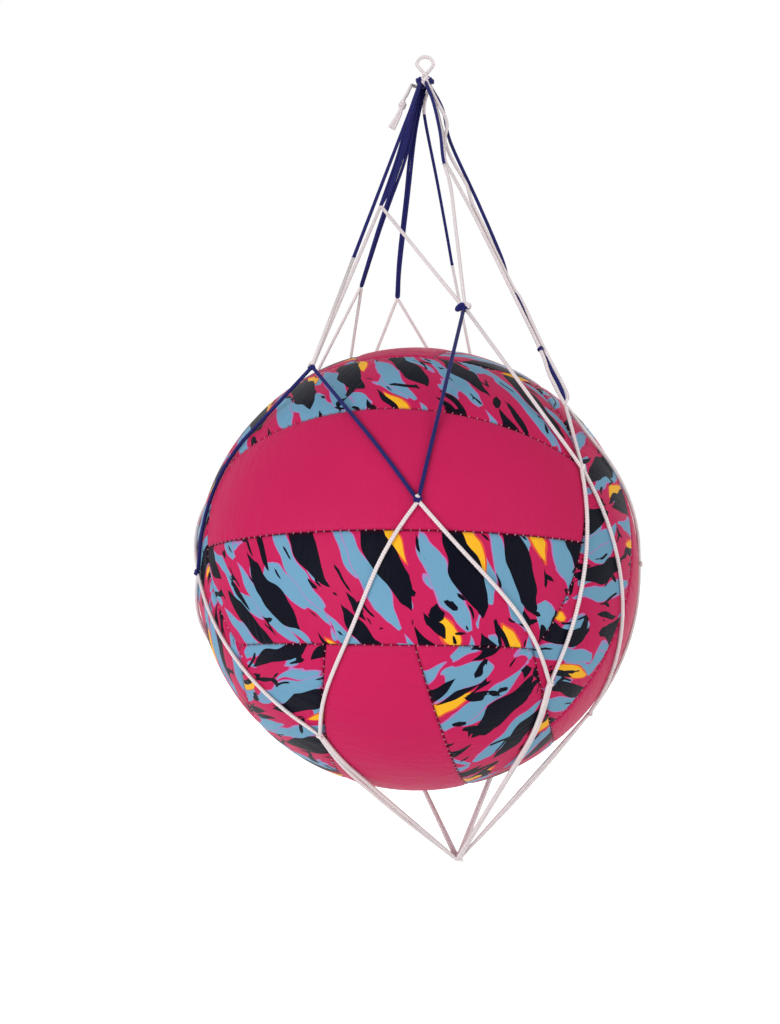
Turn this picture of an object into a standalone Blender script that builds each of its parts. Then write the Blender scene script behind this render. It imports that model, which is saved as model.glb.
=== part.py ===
"""Volleyball of eighteen sewn panels, hanging in a knotted two-tone carry net.

Metres, +Z up. The origin is the top of the hanging loop, where the whole is held up, with the
ball straight below it. The front of the ball looks towards -Y, and +X is to the right.
"""
import math

import bmesh
import bpy
from mathutils import Vector

# Ball layers, from the outside in
BALL_DIAMETER = 0.210
COVER_THICKNESS = 0.0012
FOAM_THICKNESS = 0.0024
LINING_THICKNESS = 0.0006
BLADDER_THICKNESS = 0.0009
LAYER_GAP = 0.0003
BALL_TILT = (-25.5, -2.2, -11.9)  # degrees about X, Y and Z, as the ball lies in its net

# Panels: six faces of three parallel strips, widths as angles seen from the ball's centre
MIDDLE_STRIP_SPAN = 29.9
FACE_SPAN = 77.9
SEAM_GAP = 0.0008  # opening between the edges of two panels
SEAM_DIP = 0.0012  # the sewn edges lie this far below the crown of a panel
SEAM_BORDER = 0.006  # width over which a panel rolls down to its seam
CELLS_ALONG = 8
CELLS_ACROSS = 4

# Valve, in the middle of the back face
VALVE_STEM_RADIUS = 0.0036
VALVE_BORE_RADIUS = 0.0019
VALVE_FLANGE_RADIUS = 0.009
VALVE_FLANGE_THICKNESS = 0.0014
VALVE_FIT = 0.0003
VALVE_RECESS = 0.001  # the stem ends this far below the cover
VALVE_PLUG_RECESS = 0.0006
VALVE_PATCH_RADIUS = 0.014
TURNED_STEPS = 20
SMALL_TURNED_STEPS = 16
SHELL_RINGS = 9

# Net cords
CORD_DIAMETER = 0.0015
CORD_GAP = 0.0003
NET_GAP = 0.0004  # room for the ball to turn inside the cords
BEND_STEPS = 3
ROUTE_STEP = math.radians(10.0)
HANG_DROP = 0.248  # bearing point of the loop down to the ball's centre
GATHER_DROP = 0.012  # bearing point down to the gathering knot
LOOP_RADIUS = 0.004
BOTTOM_DROP = 0.1422  # ball's centre down to the bottom knot
BOTTOM_SHIFT = 0.023  # bottom knot towards +X
SPLICE_LENGTH = 0.1085  # gathering knot to the splice of blue and white cord
HITCH_PLACE = (-0.0202, -0.0090, -0.0638)  # hitch that lifts the front mesh, from the gathering knot
CROWN_BENDS = 7  # bends of cord held by the gathering knot
CROWN_START = 167.0
HEM_START = -13.0

# Knots of the net by azimuth in degrees, 0 at the front and 90 at +X.
# Rear tops and front knots hang by a length of cord from the gathering knot.
REAR_TOPS = (
    (153.9, 0.0882),
    (-166.3, 0.1056),
    (-138.5, 0.1026),
)
FRONT_KNOTS = (
    (-39.1, 0.1665),
    (15.7, 0.1377),
    (48.4, 0.1823),
)
# The other knots lie on the ball, at an elevation in degrees.
REAR_KNOTS = (
    (150.0, 36.0),
    (210.5, 36.0),
    (237.5, 33.0),
)
WAIST_KNOTS = (
    (-66.2, -1.2),
    (-1.5, 16.8),
    (42.9, 25.5),
    (82.0, 2.0),
    (168.0, 6.0),
    (226.0, 5.0),
)
LOWER_KNOTS = (
    (-28.2, -37.8),
    (31.5, -22.2),
    (67.8, -36.5),
    (130.0, -33.0),
    (197.0, -34.0),
    (252.0, -35.0),
)
# Free tail of the drawstring, from the gathering knot
TAIL_POINTS = (
    (-0.0015, 0.0064, 0.0008),
    (-0.0045, 0.0050, 0.0007),
    (-0.0063, 0.0024, 0.0000),
    (-0.0070, 0.0000, -0.0022),
    (-0.0083, -0.0006, -0.0054),
    (-0.0099, -0.0012, -0.0086),
    (-0.0108, -0.0016, -0.0118),
    (-0.0118, -0.0019, -0.0152),
    (-0.0135, -0.0021, -0.0190),
    (-0.0158, -0.0022, -0.0234),
)
TAIL_STEPS = 2

# Colours: base colour, roughness
PINK_COVER = ((0.80, 0.03, 0.16), 0.42)
PRINTED_COVER = ((0.36, 0.42, 0.62), 0.42)
FOAM = ((0.85, 0.83, 0.78), 0.9)
CLOTH = ((0.75, 0.73, 0.68), 0.9)
BLACK_RUBBER = ((0.03, 0.03, 0.03), 0.6)
WHITE_CORD = ((0.82, 0.82, 0.80), 0.8)
BLUE_CORD = ((0.03, 0.06, 0.35), 0.8)

BALL_RADIUS = BALL_DIAMETER / 2
CORD_RADIUS = CORD_DIAMETER / 2
BEND_RADIUS = CORD_RADIUS + CORD_GAP
BALL_CENTRE = Vector((0, 0, -HANG_DROP))
GATHER_HEIGHT = HANG_DROP - GATHER_DROP  # above the ball's centre
CORD_REACH = BALL_RADIUS + CORD_RADIUS + NET_GAP  # cords on the ball, from its centre

# Face name: outward normal, direction of the strips, direction they are stacked in, strip names
FACES = {
    "front": ((0, -1, 0), (1, 0, 0), (0, 0, 1), ("lower", "middle", "upper")),
    "back": ((0, 1, 0), (-1, 0, 0), (0, 0, 1), ("lower", "middle", "upper")),
    "right": ((1, 0, 0), (0, 0, 1), (0, -1, 0), ("rear", "middle", "front")),
    "left": ((-1, 0, 0), (0, 0, -1), (0, -1, 0), ("rear", "middle", "front")),
    "top": ((0, 0, 1), (0, -1, 0), (1, 0, 0), ("left", "middle", "right")),
    "bottom": ((0, 0, -1), (0, 1, 0), (1, 0, 0), ("left", "middle", "right")),
}
MIDDLE_STRIP = 1
SEAM = math.tan(math.radians(MIDDLE_STRIP_SPAN / 2))
BOW = math.tan(math.radians(FACE_SPAN / 2))


# Scene helpers
def clear_scene():
    for item in list(bpy.data.objects):
        bpy.data.objects.remove(item, do_unlink=True)


def new_collection(name):
    collection = bpy.data.collections.new(name)
    bpy.context.scene.collection.children.link(collection)
    return collection


def new_material(name, finish):
    colour, roughness = finish
    material = bpy.data.materials.new(name)
    material.use_nodes = True
    shader = material.node_tree.nodes["Principled BSDF"]
    shader.inputs["Base Color"].default_value = (*colour, 1.0)
    shader.inputs["Roughness"].default_value = roughness
    shader.inputs["Metallic"].default_value = 0.0
    return material


def add_object(name, data, collection, parent, finish):
    item = bpy.data.objects.new(name, data)
    collection.objects.link(item)
    item.parent = parent
    if finish:
        data.materials.append(new_material(name + "_finish", finish))
    return item


def add_empty(name, collection, parent, location):
    empty = bpy.data.objects.new(name, None)
    collection.objects.link(empty)
    empty.parent = parent
    empty.location = location
    return empty


def mesh_from(bm, name):
    mesh = bpy.data.meshes.new(name)
    bm.to_mesh(mesh)
    bm.free()
    mesh.shade_smooth()
    mesh.set_sharp_from_angle(angle=math.radians(40))
    return mesh


# Panel layout: a face is drawn on a plane that touches the ball, and thrown onto the ball
def edge_offset(along):
    """Bowed long edge of a face, which meets the cube's corners at 1."""
    return BOW + (1 - BOW) * along * along


def end_offset(across):
    """End of a strip, on the bowed edge of the neighbouring face."""
    return (1 + math.sqrt(1 - 4 * BOW * (1 - BOW) * across * across)) / (2 * BOW)


def strip_sides(strip, along):
    edge = edge_offset(along)
    return ((-edge, -SEAM), (-SEAM, SEAM), (SEAM, edge))[strip]


def on_face(face, along, across):
    normal, run, stack = (Vector(part) for part in FACES[face][:3])
    return (normal + run * along + stack * across).normalized()


def side_shares(width):
    """Shares of a strip's width at which its points lie, drawn in by half the seam gap."""
    inset = SEAM_GAP / 2
    reach = (inset, inset + SEAM_BORDER, width / 2, width - inset - SEAM_BORDER, width - inset)
    return [distance / width for distance in reach]


def end_share(step, half_length):
    """Place along a strip, from -1 to 1, of one of its points."""
    inset = SEAM_GAP / 2
    inner = half_length - inset - SEAM_BORDER
    if step in (0, CELLS_ALONG):
        return math.copysign((half_length - inset) / half_length, step - 1)
    return (2 * (step - 1) / (CELLS_ALONG - 2) - 1) * inner / half_length


def line_offset(strip, line, along):
    """Place across a face of one of a strip's lines of points."""
    low, high = strip_sides(strip, along)
    span = on_face("front", along, low).angle(on_face("front", along, high))
    return low + side_shares(span * BALL_RADIUS)[line] * (high - low)


def line_end(strip, line):
    along = 1.0
    for _ in range(20):
        along = end_offset(line_offset(strip, line, along))
    return along


def panel_direction(face, strip, step, line):
    """Direction of one grid point of a panel, from the ball's centre."""
    turn = math.atan(line_end(strip, line))
    along = math.tan(turn * end_share(step, turn * BALL_RADIUS))
    return on_face(face, along, line_offset(strip, line, along))


def patch_mesh(name, face, strip, radius, inner_radius):
    """Pillow-shaped patch of one panel, drawn inwards into a closed shell."""
    bm = bmesh.new()
    bmesh.ops.create_grid(bm, x_segments=CELLS_ALONG, y_segments=CELLS_ACROSS, size=1.0)
    for vertex in bm.verts:
        step = round((vertex.co.x + 1) / 2 * CELLS_ALONG)
        line = round((vertex.co.y + 1) / 2 * CELLS_ACROSS)
        border = step in (0, CELLS_ALONG) or line in (0, CELLS_ACROSS)
        reach = radius - (SEAM_DIP if border else 0)
        vertex.co = panel_direction(face, strip, step, line) * reach
    drawn = bmesh.ops.extrude_face_region(bm, geom=bm.faces[:], use_keep_orig=True)
    for part in drawn["geom"]:
        if isinstance(part, bmesh.types.BMVert):
            part.co = part.co.normalized() * inner_radius(part.co.length)
    bmesh.ops.recalc_face_normals(bm, faces=bm.faces[:])
    return mesh_from(bm, name)


def add_panels(place):
    """Eighteen cover panels, each with its foam, holed for the valve on the back face."""
    cutter = add_valve_cutter(place)
    foam_outside = BALL_RADIUS - COVER_THICKNESS - LAYER_GAP
    foam_inside = foam_outside - FOAM_THICKNESS
    for face, (_, _, _, strips) in FACES.items():
        for strip, strip_name in enumerate(strips):
            name = f"{face}_{strip_name}"
            cover_finish = PINK_COVER if strip == MIDDLE_STRIP else PRINTED_COVER
            cover = patch_mesh(name, face, strip, BALL_RADIUS, lambda reach: reach - COVER_THICKNESS)
            foam = patch_mesh(name, face, strip, foam_outside, lambda reach: foam_inside)
            layers = (
                add_object(name + "_panel", cover, place["parts"], place["ball"], cover_finish),
                add_object(name + "_foam", foam, place["parts"], place["ball"], FOAM),
            )
            if face == "back" and strip == MIDDLE_STRIP:
                for layer in layers:
                    layer.modifiers.new("valve_hole", "BOOLEAN").object = cutter


def add_valve_cutter(place):
    bm = bmesh.new()
    radius = VALVE_STEM_RADIUS + VALVE_FIT
    bmesh.ops.create_cone(
        bm, cap_ends=True, segments=SMALL_TURNED_STEPS, radius1=radius, radius2=radius, depth=BALL_RADIUS
    )
    name = "valve_hole_cutter"
    cutter = add_object(name, mesh_from(bm, name), place["cutters"], place["ball"], None)
    cutter.location = (0, BALL_RADIUS, 0)
    cutter.rotation_euler = (math.radians(90), 0, 0)
    cutter.hide_render = True
    cutter.display_type = "WIRE"
    return cutter


def facet_drop():
    """Share of the radius at the middle of the largest facet of a panel."""
    along = 2 * math.atan(1 / BOW) / (CELLS_ALONG - 2)
    outer_span = (FACE_SPAN - MIDDLE_STRIP_SPAN) / 2
    across = math.radians(max(MIDDLE_STRIP_SPAN, outer_span)) / 2
    return math.cos(math.hypot(along, across) / 2)


# Turned layers and valve, on an axis through the middle of the back face
def add_turned(name, outline, closed, steps, finish, place):
    """Outline of (radius, height) points, down the outer side first, turned round the valve axis."""
    bm = bmesh.new()
    points = [bm.verts.new((radius, 0, height)) for radius, height in outline]
    pairs = list(zip(points, points[1:]))
    if closed:
        pairs.append((points[-1], points[0]))
    for pair in pairs:
        bm.edges.new(pair)
    item = add_object(name, mesh_from(bm, name), place["parts"], place["ball"], finish)
    item.rotation_euler = (math.radians(-90), 0, 0)
    turning = item.modifiers.new("turning", "SCREW")
    turning.steps = steps
    turning.render_steps = steps
    turning.use_merge_vertices = True
    turning.merge_threshold = 0.00001
    turning.use_smooth_shade = True
    return item


def arc(radius, angles):
    return [(radius * math.sin(angle), radius * math.cos(angle)) for angle in angles]


def round_shell(name, outer, thickness, angles, finish, place):
    """Hollow sphere open at the valve, from the first angle to the far pole."""
    to_pole = arc(outer, angles[:-1]) + [(0, -outer)]
    from_pole = [(0, thickness - outer)] + arc(outer - thickness, angles[:-1])[::-1]
    add_turned(name, from_pole + to_pole, False, TURNED_STEPS, finish, place)


def add_core(place):
    """Cloth lining, valve patch, bladder, valve stem and plug."""
    foam_inside = BALL_RADIUS - COVER_THICKNESS - LAYER_GAP - FOAM_THICKNESS
    lining = foam_inside * facet_drop() - LAYER_GAP
    bladder = lining - LINING_THICKNESS - LAYER_GAP
    patch_edge = VALVE_PATCH_RADIUS / lining
    hole_edge = (VALVE_STEM_RADIUS + VALVE_FIT) / bladder
    rings = [patch_edge + (math.pi - patch_edge) * ring / SHELL_RINGS for ring in range(SHELL_RINGS + 1)]

    lining_edge = patch_edge + VALVE_FIT / lining
    round_shell("cloth_lining", lining, LINING_THICKNESS, [lining_edge] + rings[1:], CLOTH, place)
    round_shell("bladder", bladder, BLADDER_THICKNESS, [hole_edge] + rings, BLACK_RUBBER, place)

    patch_angles = (hole_edge, (hole_edge + patch_edge) / 2, patch_edge)
    patch = arc(lining, patch_angles) + arc(lining - LINING_THICKNESS, patch_angles)[::-1]
    add_turned("valve_patch", patch, True, TURNED_STEPS, CLOTH, place)

    bladder_inside = bladder - BLADDER_THICKNESS
    flange_top = bladder_inside * math.cos(patch_edge) - LAYER_GAP
    flange_low = flange_top - VALVE_FLANGE_THICKNESS
    stem_top = BALL_RADIUS - VALVE_RECESS
    stem = (
        (VALVE_BORE_RADIUS, stem_top),
        (VALVE_STEM_RADIUS, stem_top),
        (VALVE_STEM_RADIUS, flange_top),
        (VALVE_FLANGE_RADIUS, flange_top),
        (VALVE_FLANGE_RADIUS, flange_low),
        (VALVE_BORE_RADIUS, flange_low),
    )
    add_turned("valve_stem", stem, True, SMALL_TURNED_STEPS, BLACK_RUBBER, place)
    plug_radius = VALVE_BORE_RADIUS - VALVE_FIT
    plug_top = stem_top - VALVE_PLUG_RECESS
    plug = ((0, plug_top), (plug_radius, plug_top), (plug_radius, flange_low), (0, flange_low))
    add_turned("valve_plug", plug, False, SMALL_TURNED_STEPS, BLACK_RUBBER, place)


# Net routes, measured from the ball's centre
def polar(azimuth, elevation, radius):
    turn, rise = math.radians(azimuth), math.radians(elevation)
    flat = math.cos(rise)
    return Vector((flat * math.sin(turn), -flat * math.cos(turn), math.sin(rise))) * radius


def hanging_knot(azimuth, cord_length):
    """End of a cord of this length laid from the gathering knot towards the ball."""
    tangent_turn = math.acos(CORD_REACH / GATHER_HEIGHT)
    free_length = GATHER_HEIGHT * math.sin(tangent_turn)
    touch = polar(azimuth, 90 - math.degrees(tangent_turn), CORD_REACH)
    if cord_length <= free_length:
        return Vector((0, 0, GATHER_HEIGHT)).lerp(touch, cord_length / free_length)
    turn = tangent_turn + (cord_length - free_length) / CORD_REACH
    return polar(azimuth, 90 - math.degrees(turn), CORD_REACH)


def contact(start, end):
    """Turn from start and from end to where a tight cord between them meets the ball."""
    first = math.acos(min(1, CORD_REACH / start.length))
    last = math.acos(min(1, CORD_REACH / end.length))
    turn = start.angle(end)
    return first, last, turn


def sideways(start, end):
    return (end - start * (end.dot(start) / start.length_squared)).normalized()


def taut(start, end):
    """Points of a tight cord on the ball between two places, none where it runs free."""
    first, last, turn = contact(start, end)
    if turn <= first + last:
        return []
    count = math.ceil((turn - first - last) / ROUTE_STEP)
    step = (turn - first - last) / count
    reach = CORD_REACH / math.cos(step / 2)
    out, side = start.normalized(), sideways(start, end)
    turns = [first + step * index for index in range(count + 1)]
    return [(out * math.cos(angle) + side * math.sin(angle)) * reach for angle in turns]


def heading(start, end):
    first, last, turn = contact(start, end)
    if turn <= first + last:
        return (end - start).normalized()
    return sideways(start, end) * math.cos(first) - start.normalized() * math.sin(first)


def bend(knot, before, after):
    """Arc by which a cord turns back at a knot, just short of the cord it is tied to."""
    arrive, leave = heading(knot, before), heading(knot, after)
    back = (arrive + leave).normalized()
    side = sideways(back, leave - arrive)
    half = arrive.angle(leave) / 2
    centre = knot + back * (CORD_RADIUS + CORD_GAP / 2 + BEND_RADIUS)
    points = []
    for step in range(BEND_STEPS + 1):
        angle = half + (math.pi - 2 * half) * step / BEND_STEPS
        point = centre - (side * math.cos(angle) + back * math.sin(angle)) * BEND_RADIUS
        points.append(point * max(1, CORD_REACH / point.length))
    return points


def closed_row(knots):
    """Bends of a closed row of cord that visits the knots in order."""
    befores = knots[-1:] + knots[:-1]
    afters = knots[1:] + knots[:1]
    return [bend(*turn) for turn in zip(knots, befores, afters)]


def open_row(knots):
    """Bends of a row of cord whose ends are tied to its first and last knot."""
    start = knots[0] + heading(knots[0], knots[1]) * CORD_GAP / 2
    end = knots[-1] + heading(knots[-1], knots[-2]) * CORD_GAP / 2
    return [[start]] + [bend(*turn) for turn in zip(knots[1:-1], knots, knots[2:])] + [[end]]


def run(bends, first, last):
    """Route from one bend of a row to another, its end bends left to the next cord."""
    points = [bends[first][-1]]
    for index in range(first + 1, last + 1):
        stop = bends[index % len(bends)]
        points += taut(points[-1], stop[0])
        points += stop if index < last else stop[:1]
    return points


def loop(bends):
    points = []
    for index, stop in enumerate(bends):
        points += stop + taut(stop[-1], bends[(index + 1) % len(bends)][0])
    return points


def woven(upper, lower):
    return [knot for pair in zip(upper, lower) for knot in pair]


def ring_radius(count):
    """Radius at which the bends of so many meshes stand side by side."""
    return count * (2 * BEND_RADIUS + CORD_DIAMETER + CORD_GAP) / (2 * math.pi)


def ring(centre, start, count):
    return [centre + polar(start + 360 * index / count, 0, ring_radius(count)) for index in range(count)]


def add_cord(name, points, closed, finish, place, parent):
    curve = bpy.data.curves.new(name, "CURVE")
    curve.dimensions = "3D"
    curve.bevel_depth = CORD_RADIUS
    curve.bevel_resolution = 1
    curve.use_fill_caps = not closed
    spline = curve.splines.new("POLY")
    spline.points.add(len(points) - 1)
    for point, target in zip(spline.points, points):
        point.co = (*target, 1.0)
    spline.use_cyclic_u = closed
    spline.use_smooth = True
    return add_object(name, curve, place["parts"], parent, finish)


def add_knot(name, location, count, finish, place, parent):
    """Round knot that fills a ring of bends."""
    bm = bmesh.new()
    radius = ring_radius(count) - CORD_RADIUS
    bmesh.ops.create_uvsphere(bm, u_segments=12, v_segments=8, radius=radius)
    knot = add_object(name, mesh_from(bm, name), place["parts"], parent, finish)
    knot.location = location
    return radius


def add_net(place):
    gather = Vector((0, 0, GATHER_HEIGHT))
    bottom = Vector((BOTTOM_SHIFT, 0, -BOTTOM_DROP))
    crown = ring(gather, CROWN_START, CROWN_BENDS)
    hem = ring(bottom, HEM_START, len(LOWER_KNOTS))
    hitch = gather + Vector(HITCH_PLACE)
    tops = [hanging_knot(*knot) for knot in REAR_TOPS]
    front = [hanging_knot(*knot) for knot in FRONT_KNOTS]
    rear = [polar(*knot, CORD_REACH) for knot in REAR_KNOTS]
    waist = [polar(*knot, CORD_REACH) for knot in WAIST_KNOTS]
    lower = [polar(*knot, CORD_REACH) for knot in LOWER_KNOTS]
    net = place["net"]

    # Blue cord hangs the rear tops and the hitch. White cord is spliced to it above a front knot.
    blue_row = open_row([crown[0], tops[1], crown[1], tops[2], crown[2], hitch, crown[3], front[0]])
    white_row = open_row([crown[3], front[0], hitch, front[1], crown[4], front[2], crown[5]])
    along = (white_row[1][0] - blue_row[6][-1]).normalized()
    splice = blue_row[6][-1] + along * SPLICE_LENGTH
    blue_loops = run(blue_row, 0, 6)[:-1] + blue_row[6] + [splice - along * CORD_GAP / 2]
    white_loops = [splice + along * CORD_GAP / 2] + white_row[1] + run(white_row, 1, 6)[1:]
    add_cord("blue_hanging_loops", blue_loops, False, BLUE_CORD, place, net)
    add_cord("white_hanging_loops", white_loops, False, WHITE_CORD, place, net)

    # A second blue cord runs from the third front knot over the gathering knot to the first rear top.
    aside = (white_row[5][-1] - white_row[5][0]).normalized()
    tie = white_row[5][-1] + aside * (CORD_DIAMETER + CORD_GAP)
    strands = run(open_row([tie, crown[6], tops[0]]), 0, 2)
    add_cord("blue_hanging_strands", strands, False, BLUE_CORD, place, net)
    rear_loops = run(open_row(woven(tops, rear)), 0, 5)
    add_cord("rear_hanging_loops", rear_loops, False, WHITE_CORD, place, net)

    meshes = closed_row(woven(waist, front + rear))
    add_cord("blue_front_meshes", run(meshes, 0, 3), False, BLUE_CORD, place, net)
    add_cord("white_front_meshes", run(meshes, 3, 6), False, WHITE_CORD, place, net)
    add_cord("rear_meshes", run(meshes, 6, 12), False, WHITE_CORD, place, net)
    add_cord("lower_meshes", loop(closed_row(woven(waist, lower))), True, WHITE_CORD, place, net)
    add_cord("closing_meshes", loop(closed_row(woven(lower, hem))), True, WHITE_CORD, place, net)
    add_knot("bottom_knot", bottom, len(hem), WHITE_CORD, place, net)


def smooth_route(points, steps):
    """Points along a smooth curve through the given ones."""
    guides = [Vector(point) for point in points]
    guides = [guides[0] * 2 - guides[1]] + guides + [guides[-1] * 2 - guides[-2]]
    route = []
    for p0, p1, p2, p3 in zip(guides, guides[1:], guides[2:], guides[3:]):
        for step in range(steps):
            t = step / steps
            bow = (2 * p0 - 5 * p1 + 4 * p2 - p3) * t * t + (3 * p1 - p0 - 3 * p2 + p3) * t * t * t
            route.append((2 * p1 + (p2 - p0) * t + bow) / 2)
    return route + [guides[-2]]


def add_hanger(place):
    """Hanging loop, gathering knot and free tail."""
    gather = Vector((0, 0, -GATHER_DROP))
    knot_radius = add_knot("gathering_knot", (0, 0, 0), CROWN_BENDS, BLUE_CORD, place, place["neck"])
    leg = BEND_RADIUS
    foot = gather.z + knot_radius + CORD_GAP
    middle = CORD_RADIUS - LOOP_RADIUS
    turns = [math.pi * (1 - step / 10) for step in range(11)]
    top = [(LOOP_RADIUS * math.cos(turn), 0, middle + LOOP_RADIUS * math.sin(turn)) for turn in turns]
    points = [(-leg, 0, foot), (-leg, 0, foot + CORD_DIAMETER / 2)] + top
    points += [(leg, 0, foot + CORD_DIAMETER / 2), (leg, 0, foot)]
    add_cord("hanging_loop", points, False, WHITE_CORD, place, None)
    tail = [point + gather - BALL_CENTRE for point in smooth_route(TAIL_POINTS, TAIL_STEPS)]
    add_cord("drawstring_tail", tail, False, WHITE_CORD, place, place["net"])


def main():
    clear_scene()
    place = {"parts": new_collection("volleyball"), "cutters": new_collection("cutters")}
    place["neck"] = add_empty("neck_pivot", place["parts"], None, (0, 0, -GATHER_DROP))
    place["net"] = add_empty("net_frame", place["parts"], place["neck"], (0, 0, GATHER_DROP - HANG_DROP))
    place["ball"] = add_empty("ball_centre", place["parts"], place["net"], (0, 0, 0))
    place["ball"].rotation_euler = [math.radians(angle) for angle in BALL_TILT]
    add_panels(place)
    add_core(place)
    add_net(place)
    add_hanger(place)


main()
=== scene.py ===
import math

import bmesh
import bpy
import numpy as np
from mathutils import Euler, Matrix, Vector


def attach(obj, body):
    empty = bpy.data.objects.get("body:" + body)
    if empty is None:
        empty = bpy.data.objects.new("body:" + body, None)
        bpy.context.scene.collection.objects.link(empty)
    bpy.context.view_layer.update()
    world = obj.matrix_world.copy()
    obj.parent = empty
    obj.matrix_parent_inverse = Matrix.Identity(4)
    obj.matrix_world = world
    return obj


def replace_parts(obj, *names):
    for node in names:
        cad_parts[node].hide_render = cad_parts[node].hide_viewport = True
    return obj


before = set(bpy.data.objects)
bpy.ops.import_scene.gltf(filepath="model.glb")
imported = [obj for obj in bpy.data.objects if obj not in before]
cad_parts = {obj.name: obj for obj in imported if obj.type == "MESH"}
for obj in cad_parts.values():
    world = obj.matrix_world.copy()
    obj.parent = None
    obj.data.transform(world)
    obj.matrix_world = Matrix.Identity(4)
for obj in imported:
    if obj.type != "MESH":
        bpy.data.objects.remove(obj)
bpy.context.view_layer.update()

# Looks of a sewn volleyball that hangs in a knotted two-tone carry net.
# Metres, in the frame of the solids: origin at the top of the hanging loop, front towards -Y.

BALL_RADIUS = 0.105
HANG_DROP = 0.248
GATHER_DROP = 0.012
CENTRE = Vector((0, 0, -HANG_DROP))
BALL_TURN = Euler([math.radians(angle) for angle in (-25.5, -2.2, -11.9)]).to_matrix()
MM = 0.001


def srgb(red, green, blue):
    """Linear colour of a screen colour from 0 to 255."""
    parts = [value / 255 for value in (red, green, blue)]
    return tuple(part / 12.92 if part <= 0.04045 else ((part + 0.055) / 1.055) ** 2.4 for part in parts)


PINK = srgb(199, 35, 90)
# Darker pink painted along the seams as shading in their sunken lines
GROOVE_SHADE_PINK = srgb(92, 12, 34)
LIGHT_BLUE = srgb(112, 163, 193)
LAVENDER = srgb(176, 128, 190)
INK = srgb(7, 9, 24)
YELLOW = srgb(252, 188, 44)
ORANGE = srgb(232, 84, 62)
WHITE_CORD = srgb(246, 238, 238)
NAVY_CORD = srgb(34, 36, 120)
BRAID_PITCH = 2.2  # millimetres from one wave of the braid to the next
BRAID_WAVES = 3  # waves of the braid on the way round the cord


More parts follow.
